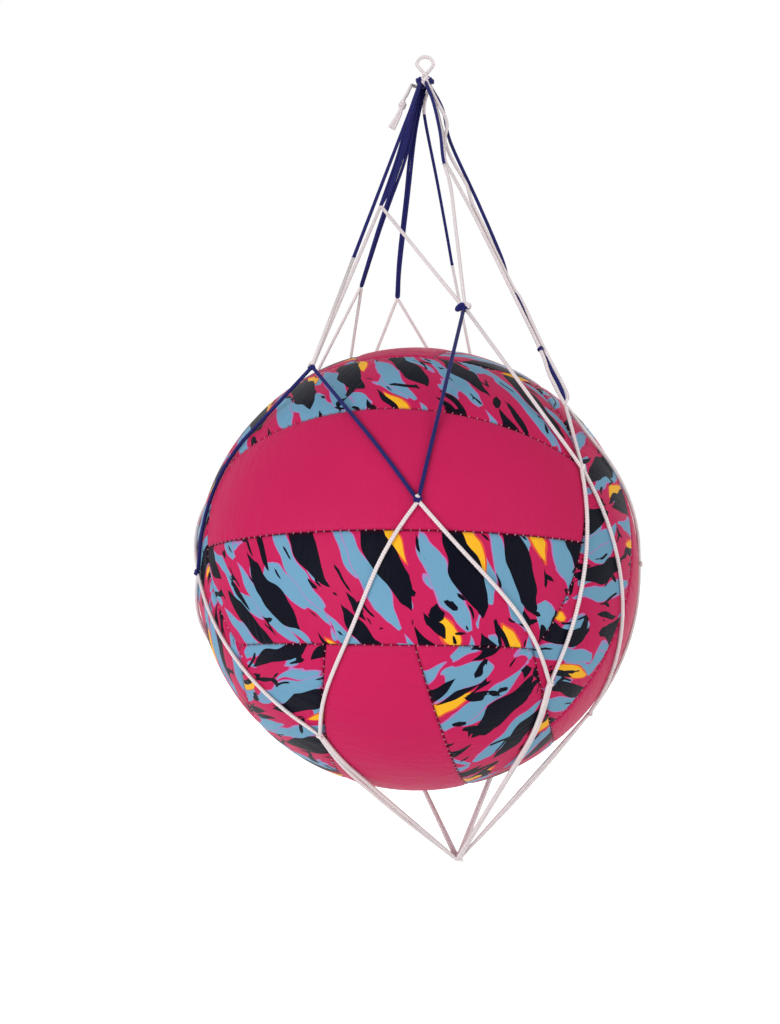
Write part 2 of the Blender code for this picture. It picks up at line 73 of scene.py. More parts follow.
# Materials
class Graph:
    """A material's nodes, with short ways to add them."""

    def __init__(self, name):
        self.material = bpy.data.materials.new(name)
        self.material.use_nodes = True
        self.tree = self.material.node_tree
        self.shader = self.tree.nodes["Principled BSDF"]

    def put(self, socket, value):
        if isinstance(value, bpy.types.NodeSocket):
            self.tree.links.new(value, socket)
        elif isinstance(value, tuple) and len(value) == 3 and socket.type == "RGBA":
            socket.default_value = (*value, 1.0)
        else:
            socket.default_value = value

    def add(self, kind, inputs=None, **settings):
        node = self.tree.nodes.new(kind)
        for key, value in settings.items():
            setattr(node, key, value)
        for key, value in (inputs or {}).items():
            self.put(node.inputs[key], value)
        return node

    def set(self, **values):
        for key, value in values.items():
            self.put(self.shader.inputs[key.replace("_", " ")], value)

    def math(self, operation, first, second=0.0, third=0.0):
        node = self.add("ShaderNodeMath", {0: first, 1: second, 2: third}, operation=operation)
        return node.outputs[0]

    def step(self, value, low, high):
        """0 below low, 1 above high, smooth between."""
        inputs = {"Value": value, "From Min": low, "From Max": high}
        return self.add("ShaderNodeMapRange", inputs, interpolation_type="SMOOTHSTEP").outputs[0]

    def mix(self, share, first, second):
        node = self.add("ShaderNodeMix", data_type="RGBA")
        self.put(node.inputs[0], share)
        self.put(node.inputs[6], first)
        self.put(node.inputs[7], second)
        return node.outputs[2]

    def layout(self):
        return self.add("ShaderNodeUVMap", uv_map="Layout").outputs[0]

    def vector_math(self, operation, first, second):
        return self.add("ShaderNodeVectorMath", {0: first, 1: second}, operation=operation).outputs[0]

    def turned(self, vector, degrees):
        """Vector turned about Z."""
        inputs = {"Vector": vector, "Angle": math.radians(degrees)}
        return self.add("ShaderNodeVectorRotate", inputs, rotation_type="Z_AXIS").outputs[0]

    def placed(self, vector, turn=0.0, size=(1, 1, 1), move=(0, 0, 0)):
        """Vector turned about Z, then divided by a size, then moved."""
        scaled = self.vector_math("DIVIDE", self.turned(vector, turn), size)
        return self.vector_math("ADD", scaled, move)

    def noise(self, vector, scale=1.0, detail=2.0, roughness=0.5, distortion=0.0, colour=False):
        inputs = {"Vector": vector, "Scale": scale, "Detail": detail, "Roughness": roughness}
        inputs["Distortion"] = distortion
        node = self.add("ShaderNodeTexNoise", inputs, noise_dimensions="3D")
        return node.outputs["Color" if colour else "Fac"]

    def cells(self, vector, scale=1.0, feature="F1"):
        inputs = {"Vector": vector, "Scale": scale}
        return self.add("ShaderNodeTexVoronoi", inputs, feature=feature, voronoi_dimensions="3D").outputs

    def shaken(self, vector, by, reach):
        """Vector pushed about by a coloured noise, up to reach each way."""
        centred = self.vector_math("SUBTRACT", by, (0.5, 0.5, 0.5))
        pushed = self.vector_math("MULTIPLY", centred, (reach * 2, reach * 2, 0))
        return self.vector_math("ADD", vector, pushed)

    def brushes(self, vector, turn, length, spacing):
        """Cells in slanting rows, length and spacing in centimetres.

        Gives the centimetres along and across from a cell's middle, and the cell's three random numbers.
        """
        parts = self.add("ShaderNodeSeparateXYZ", {0: self.turned(vector, turn)}).outputs
        row_place = self.math("DIVIDE", parts[1], spacing)
        row = self.math("FLOOR", row_place)
        start = self.add("ShaderNodeTexWhiteNoise", {"W": row}, noise_dimensions="1D").outputs["Value"]
        column_place = self.math("ADD", self.math("DIVIDE", parts[0], length), start)
        along = self.math("MULTIPLY", self.math("SUBTRACT", self.math("FRACT", column_place), 0.5), length)
        across = self.math("MULTIPLY", self.math("SUBTRACT", self.math("FRACT", row_place), 0.5), spacing)
        cell = self.add("ShaderNodeCombineXYZ", {0: row, 1: self.math("FLOOR", column_place)}).outputs[0]
        chance = self.add("ShaderNodeTexWhiteNoise", {"Vector": cell}, noise_dimensions="2D").outputs["Color"]
        return along, across, self.add("ShaderNodeSeparateColor", {0: chance}).outputs

    def stroke(self, along, across, middle, half):
        """Above 0 inside a stroke with pointed ends. middle and half are centimetres along and across."""
        run, side = (
            self.math("ABSOLUTE", self.math("DIVIDE", self.math("SUBTRACT", value, at), size))
            for value, at, size in zip((along, across), middle, half)
        )
        return self.math("SUBTRACT", self.math("SUBTRACT", 1.0, self.math("POWER", run, 2.2)), side)

    def bump(self, height, distance, below=None):
        inputs = {"Height": height, "Distance": distance, "Strength": 1.0}
        if below is not None:
            inputs["Normal"] = below
        return self.add("ShaderNodeBump", inputs).outputs[0]


def print_colour(graph, place):
    """Generic camouflage over pink: slanting strokes, bands, flashes, patches and broken lines."""
    slant = 54.0
    loose = graph.shaken(place, graph.noise(place, 0.5, 1.0, 0.5, colour=True), 0.5)
    nicked = graph.noise(graph.placed(loose, slant, (1.2, 0.35, 1)), 1.0, 1.0, 0.5, colour=True)
    rough = graph.shaken(loose, nicked, 0.12)
    along, across, chance = graph.brushes(rough, slant, 4.8, 2.4)

    patch = graph.noise(graph.placed(rough, slant - 8, (2.3, 1.1, 1), (4.2, 1.7, 0)), 1.0, 0.8, 0.45, 0.5)
    colour = graph.mix(graph.step(patch, 0.595, 0.598), PINK, LAVENDER)
    colour = graph.mix(graph.step(patch, 0.608, 0.611), colour, LIGHT_BLUE)
    band = graph.stroke(along, across, (0.3, -0.76), (2.4, 0.36))
    colour = graph.mix(graph.step(band, -0.12, -0.09), colour, LAVENDER)
    colour = graph.mix(graph.step(band, 0.0, 0.03), colour, LIGHT_BLUE)

    flash = graph.stroke(along, across, (-0.8, 0.86), (1.25, 0.36))
    flash = graph.math("MULTIPLY", graph.math("ADD", flash, 0.2), graph.step(chance[2], 0.55, 0.551))
    colour = graph.mix(graph.step(flash, 0.2, 0.22), colour, ORANGE)
    colour = graph.mix(graph.step(flash, 0.42, 0.44), colour, YELLOW)

    width = graph.math("MULTIPLY_ADD", chance[0], 0.28, 0.34)
    shift = graph.math("MULTIPLY_ADD", chance[1], 0.5, -0.2)
    stroke = graph.stroke(along, across, (0.0, shift), (2.1, width))
    colour = graph.mix(graph.step(stroke, 0.0, 0.03), colour, INK)
    chip = graph.stroke(along, across, (-1.5, 0.62), (0.85, 0.16))
    colour = graph.mix(graph.step(chip, 0.0, 0.05), colour, INK)

    line_place = graph.placed(loose, slant - 4, (3.0, 0.95, 1), (1.1, 5.9, 8))
    line_edge = graph.cells(line_place, feature="DISTANCE_TO_EDGE")["Distance"]
    broken = graph.step(graph.noise(place, 0.9, 1.0), 0.52, 0.62)
    line = graph.math("LESS_THAN", line_edge, graph.math("MULTIPLY", broken, 0.045))
    return graph.mix(line, colour, INK)


def cover_material(name, printed):
    """Soft grained synthetic leather. The layout map is in centimetres along and across a panel."""
    graph = Graph(name)
    place = graph.layout()
    colour = print_colour(graph, place) if printed else PINK
    cloudy = graph.noise(place, 0.35, 3.0)
    wear = graph.add("ShaderNodeMapRange", {"Value": cloudy, "To Min": 0.93, "To Max": 1.05}).outputs[0]
    worn = graph.add("ShaderNodeHueSaturation", {"Color": colour, "Value": wear})
    # Painted shading: the colour darkens towards each seam, where the sewn panels dip in
    seam = graph.add("ShaderNodeAttribute", attribute_name="seam").outputs["Fac"]
    groove_shade = graph.math("MULTIPLY", graph.math("EXPONENT", graph.math("MULTIPLY", seam, -2.6)), 0.5)
    graph.set(Base_Color=graph.mix(groove_shade, worn.outputs[0], GROOVE_SHADE_PINK))

    grain = graph.cells(place, 17.0)["Distance"]
    pores = graph.noise(place, 40.0, 2.0)
    crease = graph.noise(graph.placed(place, 12, (0.5, 1.9, 1)), 1.0, 3.0, 0.55, 1.2)
    near = graph.math("ADD", graph.math("EXPONENT", graph.math("MULTIPLY", seam, -0.12)), 0.25)
    normal = graph.bump(graph.math("MULTIPLY", crease, near), 0.0008)
    normal = graph.bump(grain, 0.000022, normal)
    normal = graph.bump(pores, 0.000012, normal)
    graph.put(graph.shader.inputs["Normal"], normal)
    shine = graph.math("ADD", graph.math("MULTIPLY", cloudy, 0.12), graph.math("MULTIPLY", grain, 0.10))
    graph.set(Roughness=graph.math("ADD", shine, 0.34))
    graph.set(Specular_IOR_Level=0.05)
    return graph.material


def cord_material(name, colour, shade_and_soil):
    """Braided cord. The layout map is in millimetres along the cord and turns round it."""
    graph = Graph(name)
    place = graph.layout()
    parts = graph.add("ShaderNodeSeparateXYZ", {0: place}).outputs
    along = graph.math("MULTIPLY", parts[0], 2 * math.pi / BRAID_PITCH)
    round_it = graph.math("MULTIPLY", parts[1], 2 * math.pi * BRAID_WAVES)
    right = graph.math("SINE", graph.math("ADD", along, round_it))
    left = graph.math("SINE", graph.math("SUBTRACT", along, round_it))
    braid = graph.math("MULTIPLY_ADD", graph.math("MULTIPLY", right, left), 0.5, 0.5)
    fibre = graph.noise(graph.placed(place, 0, (0.5, 0.02, 1)), 1.0, 3.0)
    soil = graph.noise(place, 0.06, 3.0, 0.6)
    # Painted shading: the braid's valleys take the darker colour and its crests the lighter one, mixed with a
    # random fibre tone
    tone = graph.math("ADD", graph.math("MULTIPLY", braid, 0.58), graph.math("MULTIPLY", fibre, 0.42))
    body = graph.mix(graph.step(tone, 0.1, 0.75), shade_and_soil, colour)
    # Soiled spots, which are real dirt, are mixed towards the same darker colour
    graph.set(Base_Color=graph.mix(graph.math("MULTIPLY", graph.step(soil, 0.45, 0.8), 0.35), body, shade_and_soil))
    normal = graph.bump(braid, 0.0001)
    graph.put(graph.shader.inputs["Normal"], graph.bump(fibre, 0.00005, normal))
    graph.set(Roughness=graph.math("MULTIPLY_ADD", fibre, 0.2, 0.62))
    graph.set(Sheen_Weight=0.06, Sheen_Roughness=0.5, Specular_IOR_Level=0.2)
    return graph.material


def plain_material(name, colour, dark, scale, depth, roughness):
    """Unprinted material with a fine grain, for threads, cloth, foam and rubber."""
    graph = Graph(name)
    place = graph.add("ShaderNodeTexCoord").outputs["Object"]
    grain = graph.noise(place, scale, 3.0, 0.6)
    patchy = graph.noise(place, scale / 14, 2.0)
    tone = graph.math("ADD", graph.math("MULTIPLY", grain, 0.6), graph.math("MULTIPLY", patchy, 0.4))
    graph.set(Base_Color=graph.mix(graph.step(tone, 0.3, 0.7), dark, colour))
    graph.put(graph.shader.inputs["Normal"], graph.bump(grain, depth))
    graph.set(Roughness=graph.math("MULTIPLY_ADD", grain, 0.15, roughness))
    return graph.material


COVERS = {False: cover_material("pink_cover_skin", False), True: cover_material("printed_cover_skin", True)}
# Each cord's second colour is its painted braid shading, and it also colours the soiled spots
CORDS = {
    "white_cord": cord_material("white_braid", WHITE_CORD, srgb(206, 192, 195)),
    "blue_cord": cord_material("blue_braid", NAVY_CORD, srgb(8, 10, 38)),
}
THREAD = plain_material("waxed_thread", srgb(228, 168, 186), srgb(140, 72, 90), 2600.0, 0.00004, 0.55)
FOAM = plain_material("foam_sheet", srgb(235, 232, 224), srgb(205, 200, 190), 900.0, 0.0001, 0.8)
CLOTH = plain_material("carcass_cloth", srgb(222, 218, 208), srgb(184, 178, 166), 1500.0, 0.0001, 0.8)
RUBBER = plain_material("black_rubber_skin", srgb(40, 40, 42), srgb(22, 22, 24), 1200.0, 0.00002, 0.45)


def add_piece(name, points, faces, material, body, layout=None, seam=None):
    """Mesh object from arrays of points and faces, on its body. layout holds a pair for every face corner."""
    mesh = bpy.data.meshes.new(name)
    mesh.from_pydata([tuple(point) for point in points], [], [tuple(face) for face in faces])
    mesh.materials.append(material)
    if layout is not None:
        uv = mesh.uv_layers.new(name="Layout")
        uv.data.foreach_set("uv", np.asarray(layout, dtype=np.float32).ravel())
    if seam is not None:
        field = mesh.attributes.new("seam", "FLOAT", "POINT")
        field.data.foreach_set("value", np.asarray(seam, dtype=np.float32))
    mesh.shade_smooth()
    piece = bpy.data.objects.new(name, mesh)
    bpy.context.scene.collection.objects.link(piece)
    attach(piece, body)
    return piece


# Panels: six faces of three strips, drawn on a plane that touches the ball and thrown onto it
FACES = {
    "front": ((0, -1, 0), (1, 0, 0), (0, 0, 1), ("lower", "middle", "upper")),
    "back": ((0, 1, 0), (-1, 0, 0), (0, 0, 1), ("lower", "middle", "upper")),
    "right": ((1, 0, 0), (0, 0, 1), (0, -1, 0), ("rear", "middle", "front")),
    "left": ((-1, 0, 0), (0, 0, -1), (0, -1, 0), ("rear", "middle", "front")),
    "top": ((0, 0, 1), (0, -1, 0), (1, 0, 0), ("left", "middle", "right")),
    "bottom": ((0, 0, -1), (0, 1, 0), (1, 0, 0), ("left", "middle", "right")),
}
SEAM = math.tan(math.radians(29.9 / 2))
BOW = math.tan(math.radians(77.9 / 2))
BORDER = np.array((0.12, 0.4, 0.8, 1.4, 2.3, 3.8, 6.2)) * MM  # lines of points beside a seam
PRINT_SHIFT = np.array((13.7, 7.9))  # centimetres from one panel's layout to the next, so that no two match
END_ROUNDS = 20
INNER_ACROSS = 8
INNER_ALONG = 30
SKIN = 0.9 * MM
GROOVE, GROOVE_WIDTH = 1.0 * MM, 0.6 * MM
PILLOW, PILLOW_WIDTH = 0.4 * MM, 5.0 * MM


def rows(inner):
    """Each line's distance from the first side of a strip, as a + b times its width."""
    steps = np.arange(1, inner + 1) / (inner + 1)
    edge = BORDER[-1]
    fixed = np.concatenate([BORDER, edge * (1 - 2 * steps), -BORDER[::-1]])
    share = np.concatenate([np.zeros(len(BORDER)), steps, np.ones(len(BORDER))])
    return fixed, share


def edge_offset(along):
    return BOW + (1 - BOW) * along * along


def end_offset(across):
    return (1 + np.sqrt(1 - 4 * BOW * (1 - BOW) * across * across)) / (2 * BOW)


def across_strip(strip, along, fixed, share):
    """Place across a face, distance from the strip's first side and its width, for lines of points."""
    edge = edge_offset(along)
    still = np.full_like(edge, SEAM)
    low, high = ((-edge, -still), (-still, still), (still, edge))[strip]
    first = np.stack([along, low, np.ones_like(along)], -1)
    last = np.stack([along, high, np.ones_like(along)], -1)
    cosine = (first * last).sum(-1) / np.linalg.norm(first, axis=-1) / np.linalg.norm(last, axis=-1)
    width = np.arccos(cosine) * BALL_RADIUS
    distance = fixed + share * width
    return low + distance / width * (high - low), distance, width


def strip_grid(strip):
    """Directions on a face, and distances to its four sides, of one strip's grid of points."""
    fixed, share = rows(INNER_ACROSS)
    ends = np.ones(len(fixed))
    for _ in range(END_ROUNDS):
        ends = end_offset(across_strip(strip, ends, fixed, share)[0])
    turn = np.arctan(ends)
    length = 2 * turn * BALL_RADIUS
    step_fixed, step_share = rows(INNER_ALONG)
    run = step_fixed[:, None] + step_share[:, None] * length[None, :]
    along = np.tan(turn * (run / (length / 2) - 1))
    across, distance, width = across_strip(strip, along, fixed[None, :], share[None, :])
    direction = np.stack([np.ones_like(along), along, across], -1)
    direction /= np.linalg.norm(direction, axis=-1, keepdims=True)
    sides = np.stack([run, length - run, distance, width - distance], -1)
    place = np.stack([run - length / 2, distance - width / 2], -1)
    return direction, sides, place


def dip(sides, width):
    return 1 - np.prod(1 - np.exp(-sides / width), axis=-1)


def grid_faces(steps, lines, start, flip):
    index = np.arange(steps * lines).reshape(steps, lines) + start
    faces = np.stack([index[:-1, :-1], index[1:, :-1], index[1:, 1:], index[:-1, 1:]], -1).reshape(-1, 4)
    return faces[:, ::-1] if flip else faces


def rim(steps, lines):
    index = np.arange(steps * lines).reshape(steps, lines)
    path = np.concatenate([index[:, 0], index[-1, 1:], index[-2::-1, -1], index[0, -2:0:-1]])
    after = np.roll(path, -1)
    under = steps * lines
    return np.stack([path, path + under, after + under, after], -1)


def to_world(points):
    return points @ np.array(BALL_TURN).T + np.array(CENTRE)


def add_panel(face, strip, number):
    name = f"{face}_{FACES[face][3][strip]}_panel"
    axes = np.array(FACES[face][:3], dtype=float)
    direction, sides, place = GRIDS[strip]
    steps, lines = direction.shape[:2]
    reach = BALL_RADIUS - GROOVE * dip(sides, GROOVE_WIDTH) - PILLOW * dip(sides, PILLOW_WIDTH)
    outward = direction @ axes
    shell = np.concatenate([(outward * r[..., None]).reshape(-1, 3) for r in (reach, reach - SKIN)])
    faces = np.concatenate(
        [grid_faces(steps, lines, 0, False), grid_faces(steps, lines, steps * lines, True), rim(steps, lines)]
    )
    flat = np.tile((place * 100).reshape(-1, 2), (2, 1)) + number * PRINT_SHIFT
    seam = np.tile((sides.min(axis=-1) / MM).ravel(), 2)
    points = to_world(shell)
    corner, second, _, last = points[faces[0]]
    if np.cross(second - corner, last - corner) @ (corner - np.array(CENTRE)) < 0:
        faces = faces[:, ::-1]
    printed = strip != 1
    piece = add_piece(name + "_skin", points, faces, COVERS[printed], "ball", flat[faces.ravel()], seam)
    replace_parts(piece, name)
    return piece


GRIDS = [strip_grid(strip) for strip in range(3)]
skins = {}
for number, (face, strip) in enumerate((face, strip) for face in FACES for strip in range(3)):
    skins[face, strip] = add_panel(face, strip, number)


VALVE_HOLE_RADIUS = 3.7 * MM
VALVE_HOLE_SIDES = 48
VALVE_CUT_DEPTH = 8 * MM
VALVE_RIM_ANGLE = math.radians(50)


def cut_valve_hole(piece):
    """Round hole in the middle of the back face, through which the valve shows."""
    cylinder = bmesh.new()
    bmesh.ops.create_cone(
        cylinder,
        cap_ends=True,
        segments=VALVE_HOLE_SIDES,
        radius1=VALVE_HOLE_RADIUS,
        radius2=VALVE_HOLE_RADIUS,
        depth=VALVE_CUT_DEPTH,
    )
    mesh = bpy.data.meshes.new("valve_hole")
    cylinder.to_mesh(mesh)
    cylinder.free()
    cutter = bpy.data.objects.new("valve_hole", mesh)
    bpy.context.scene.collection.objects.link(cutter)
    cutter.matrix_world = (
        Matrix.Translation(CENTRE)
        @ BALL_TURN.to_4x4()
        @ Matrix.Translation((0, BALL_RADIUS, 0))
        @ Matrix.Rotation(math.radians(90), 4, "X")
    )
    piece.modifiers.new("valve_hole", "BOOLEAN").object = cutter
    bpy.context.view_layer.update()
    ready = bpy.context.evaluated_depsgraph_get()
    result = piece.evaluated_get(ready)
    cut = bpy.data.meshes.new_from_object(result, preserve_all_data_layers=True, depsgraph=ready)
    piece.modifiers.clear()
    piece.data = cut
    cut.set_sharp_from_angle(angle=VALVE_RIM_ANGLE)
    bpy.data.objects.remove(cutter)


cut_valve_hole(skins["back", 1])


# Stitches: short threads across every seam
STITCH_PITCH = 3.4 * MM
STITCH_REACH = 0.54 * MM  # half the length of a stitch
STITCH_RADIUS = 0.19 * MM
STITCH_SINK = 0.6 * MM
STITCH_DIVE = 0.55  # millimetres that a stitch's ends go in below its middle
STITCH_SIDES = 6
STITCH_LEAN = (0.94, 0.34)  # parts of a stitch's direction across and along the seam
SEAM_STEPS = 400


def seam_lines():
    """Every seam as rows of directions from the ball's centre."""
    for normal, along, stack, _ in FACES.values():
        normal, along, stack = (np.array(part, dtype=float) for part in (normal, along, stack))
        for side in (-1, 1):
            reach = float(end_offset(np.array(SEAM)))
            for steps, across in (
                (np.linspace(-reach, reach, SEAM_STEPS), lambda a: np.full_like(a, SEAM)),
                (np.linspace(-1, 1, SEAM_STEPS), edge_offset),
            ):
                line = normal + steps[:, None] * along + side * across(steps)[:, None] * stack
                yield line / np.linalg.norm(line, axis=1, keepdims=True)


def add_stitches():
    sides = STITCH_SIDES
    turns = np.arange(sides) * 2 * math.pi / sides
    stops = np.array((-1.0, -0.72, -0.3, 0.3, 0.72, 1.0))
    swell = np.array((0.25, 0.85, 1.0, 1.0, 0.85, 0.25))
    sink = np.array((1.0, 0.42, 0.08, 0.08, 0.42, 1.0))
    points, faces = [], []
    for line in seam_lines():
        steps = np.linalg.norm(np.diff(line, axis=0), axis=1)
        lengths = np.concatenate([[0], np.cumsum(steps)]) * BALL_RADIUS
        count = int((lengths[-1] - 2 * MM) / STITCH_PITCH)
        start = (lengths[-1] - (count - 1) * STITCH_PITCH) / 2
        for index in range(count):
            at = start + index * STITCH_PITCH
            out = np.array([np.interp(at, lengths, line[:, axis]) for axis in range(3)])
            ahead = np.array([np.interp(at + 0.5 * MM, lengths, line[:, axis]) for axis in range(3)])
            out /= np.linalg.norm(out)
            way = ahead - out
            way /= np.linalg.norm(way)
            across = np.cross(out, way)
            lean = across * STITCH_LEAN[0] + way * STITCH_LEAN[1]
            wide = np.cross(out, lean)
            base = len(points)
            for stop, size, low in zip(stops, swell, sink):
                reach = BALL_RADIUS - STITCH_SINK - low * STITCH_DIVE * MM
                middle = out * reach + lean * stop * STITCH_REACH
                for turn in turns:
                    spoke = wide * math.cos(turn) + out * math.sin(turn)
                    points.append(middle + spoke * STITCH_RADIUS * size)
            for row in range(len(stops) - 1):
                near, far = base + row * sides, base + (row + 1) * sides
                for side in range(sides):
                    after = (side + 1) % sides
                    faces.append((near + side, near + after, far + after, far + side))
            faces.append(tuple(base + side for side in range(sides))[::-1])
            last = base + (len(stops) - 1) * sides
            faces.append(tuple(last + side for side in range(sides)))
    add_piece("seam_stitches", to_world(np.array(points)), faces, THREAD, "ball")


add_stitches()

# Net: the routes of the solids, with slack strands, rounder bends and wound knots
CORD_RADIUS = 0.8 * MM
NET_GAP = 0.1 * MM
CORD_REACH = BALL_RADIUS + CORD_RADIUS + NET_GAP
KNOT_REACH = BALL_RADIUS + 1.2 * MM
BEND_RADIUS = 0.6 * MM
BEND_STEPS = 8
SMOOTH_STEPS = 5
CURL_STEPS = 24
WRAP_STEPS = 18  # points in a turn of a wound cord
WRAP_TUCK = 0.45  # share of its half size by which a wound cord's ends go in
WRAP_THIN = 0.95  # thickness of a wound cord, as a share of the free cord's
ROUTE_STEP = math.radians(3)
GATHER_HEIGHT = HANG_DROP - GATHER_DROP
CROWN_RADIUS = 2.5 * MM
HEM_RADIUS = 1.7 * MM
BOTTOM = Vector((0.023, 0, -0.1422))
HITCH_PLACE = Vector((-0.0202, -0.0090, -0.0638))
SPLICE_LENGTH = 0.1072
SLACK_STEP = 3 * MM
KNOT_CLEARANCE = 0.25 * MM
# Each knot's azimuth in degrees, then its length of cord in metres or its elevation in degrees
REAR_TOPS = ((153.9, 0.0882), (-166.3, 0.1056), (-138.5, 0.1026))
FRONT_KNOTS = ((-39.1, 0.1665), (15.7, 0.1377), (48.4, 0.1823))
REAR_KNOTS = ((150.0, 36.0), (210.5, 36.0), (237.5, 33.0))
WAIST_KNOTS = ((-66.2, -1.2), (-1.5, 16.8), (42.9, 25.5), (82.0, 2.0), (168.0, 6.0), (226.0, 5.0))
LOWER_KNOTS = (
    (-28.2, -37.8), (31.5, -22.2), (67.8, -36.5), (130.0, -33.0), (197.0, -34.0),
    (252.0, -35.0),
)


def polar(azimuth, elevation, radius):
    turn, rise = math.radians(azimuth), math.radians(elevation)
    flat = math.cos(rise)
    return Vector((flat * math.sin(turn), -flat * math.cos(turn), math.sin(rise))) * radius


def hanging_knot(azimuth, cord_length):
    tangent_turn = math.acos(CORD_REACH / GATHER_HEIGHT)
    free_length = GATHER_HEIGHT * math.sin(tangent_turn)
    touch = polar(azimuth, 90 - math.degrees(tangent_turn), CORD_REACH)
    if cord_length <= free_length:
        return Vector((0, 0, GATHER_HEIGHT)).lerp(touch, cord_length / free_length)
    turn = tangent_turn + (cord_length - free_length) / CORD_REACH
    return polar(azimuth, 90 - math.degrees(turn), KNOT_REACH)


def contact(start, end):
    first = math.acos(min(1, CORD_REACH / start.length))
    last = math.acos(min(1, CORD_REACH / end.length))
    return first, last, start.angle(end)


def sideways(start, end):
    return (end - start * (end.dot(start) / start.length_squared)).normalized()


def taut(start, end):
    first, last, turn = contact(start, end)
    if turn <= first + last:
        return []
    count = math.ceil((turn - first - last) / ROUTE_STEP)
    step = (turn - first - last) / count
    out, side = start.normalized(), sideways(start, end)
    turns = [first + step * index for index in range(count + 1)]
    return [(out * math.cos(angle) + side * math.sin(angle)) * CORD_REACH for angle in turns]


def heading(start, end):
    first, last, turn = contact(start, end)
    if turn <= first + last:
        return (end - start).normalized()
    return sideways(start, end) * math.cos(first) - start.normalized() * math.sin(first)


def bend(knot, before, after):
    arrive, leave = heading(knot, before), heading(knot, after)
    back = (arrive + leave).normalized()
    side = sideways(back, leave - arrive)
    half = arrive.angle(leave) / 2
    centre = knot + back * (CORD_RADIUS * 0.8 + BEND_RADIUS)
    points = []
    for step in range(BEND_STEPS + 1):
        angle = half + (math.pi - 2 * half) * step / BEND_STEPS
        point = centre - (side * math.cos(angle) + back * math.sin(angle)) * BEND_RADIUS
        points.append(point * max(1, CORD_REACH / point.length))
    return points


def closed_row(knots):
    return [bend(*turn) for turn in zip(knots, knots[-1:] + knots[:-1], knots[1:] + knots[:1])]


def open_row(knots):
    return [[knots[0]]] + [bend(*turn) for turn in zip(knots[1:-1], knots, knots[2:])] + [[knots[-1]]]


def strand(start, end, waves=None):
    """Cord over the ball. waves are the sizes of the bows in which it lies, in millimetres to the right."""
    if not waves:
        return taut(start, end)
    across = start.cross(end).normalized()
    across *= math.copysign(MM, across.x)
    points = []
    for point in taut(start, end):
        share = start.angle(point) / start.angle(end)
        aside = sum(size * math.sin(math.pi * (count + 1) * share) for count, size in enumerate(waves))
        points.append((point + across * aside).normalized() * CORD_REACH)
    return points


def run(bends, first, last, bows=None):
    points = [bends[first][-1]]
    for index in range(first + 1, last + 1):
        stop = bends[index % len(bends)]
        points += strand(points[-1], stop[0], (bows or {}).get(index - 1))
        points += stop if index < last else stop[:1]
    return points


def loop(bends, bows=None):
    points = []
    for index, stop in enumerate(bends):
        points += stop + strand(stop[-1], bends[(index + 1) % len(bends)][0], (bows or {}).get(index))
    return points


def sagging(start, end, sag):
    """Points between the ends of a slack strand, at most sag millimetres away from its taut line."""
    corners = [start, *taut(start, end), end]
    points = []
    for corner, after in zip(corners, corners[1:]):
        count = math.ceil((after - corner).length / SLACK_STEP)
        points += [corner.lerp(after, step / count) for step in range(count)]
    moved = []
    for index, point in enumerate(points):
        share = index / len(points)
        moved.append(point + point.normalized() * math.sin(math.pi * share) * sag * MM)
    return moved[1:]


def woven(upper, lower):
    return [knot for pair in zip(upper, lower) for knot in pair]


def ring(centre, start, count, radius):
    return [centre + polar(start + 360 * index / count, 0, radius) for index in range(count)]


def tube(points, radius, closed=False, sides=10, taper=None):
    """Points, faces and layout of a round cord along a route."""
    route = [Vector(point) for point in points]
    route = [point for point, before in zip(route, route[-1:] + route[:-1]) if (point - before).length > 1e-6]
    count = len(route)
    ways = []
    for index in range(count):
        before = route[index - 1] if closed or index else route[0]
        after = route[(index + 1) % count] if closed or index < count - 1 else route[-1]
        ways.append((after - before).normalized())
    side = ways[0].orthogonal().normalized()
    frames = [side]
    for before, after in zip(ways, ways[1:]):
        side = before.rotation_difference(after) @ side
        side = (side - after * side.dot(after)).normalized()
        frames.append(side)
    lengths = [0.0]
    for before, after in zip(route, route[1:]):
        lengths.append(lengths[-1] + (after - before).length)
    row_count = count + 1 if closed else count
    twist = 0.0
    if closed:
        final = ways[-1].rotation_difference(ways[0]) @ frames[-1]
        twist = math.atan2(final.cross(frames[0]).dot(ways[0]), final.dot(frames[0]))
        lengths.append(lengths[-1] + (route[0] - route[-1]).length)
    made, faces, layout = [], [], []
    for index in range(count):
        way, first = ways[index], frames[index]
        second = way.cross(first)
        turned = twist * index / count
        size = radius if taper is None else radius * taper(lengths[index] / lengths[-1])
        for step in range(sides):
            angle = 2 * math.pi * step / sides + turned
            made.append(route[index] + (first * math.cos(angle) + second * math.sin(angle)) * size)
    for row in range(row_count - 1):
        low, high = row * sides, (row + 1) % count * sides
        for step in range(sides):
            after = (step + 1) % sides
            faces.append((low + step, low + after, high + after, high + step))
            start, end = lengths[row] / MM, lengths[row + 1] / MM
            turn, next_turn = step / sides, (step + 1) / sides
            layout += [(start, turn), (start, next_turn), (end, next_turn), (end, turn)]
    if not closed:
        for base, flip in ((0, True), ((count - 1) * sides, False)):
            cap = [base + step for step in range(sides)]
            faces.append(tuple(cap[::-1] if flip else cap))
            layout += [(lengths[base // sides] / MM, 0.5)] * sides
    return made, faces, layout


def join(parts):
    """Several tubes as one list of points, faces and layout."""
    points, faces, layout = [], [], []
    for made, formed, laid in parts:
        base = len(points)
        points += made
        faces += [tuple(index + base for index in face) for face in formed]
        layout += laid
    return points, faces, layout


def add_tubes(name, parts, slot, body="net"):
    """Piece made of one or more tubes of cord."""
    made, faces, layout = join(parts)
    return add_piece(name, made, faces, CORDS[slot], body, layout)


def add_run(name, points, slot, closed=False):
    """Length of cord that rides on the net. Its points are from the ball's centre."""
    return add_tubes(name, [tube([point + CENTRE for point in points], CORD_RADIUS, closed)], slot)


def add_cord(node, points, closed, slot):
    """Length of cord that stands for a solid."""
    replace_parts(add_run(node + "_cord", points, slot, closed), node)


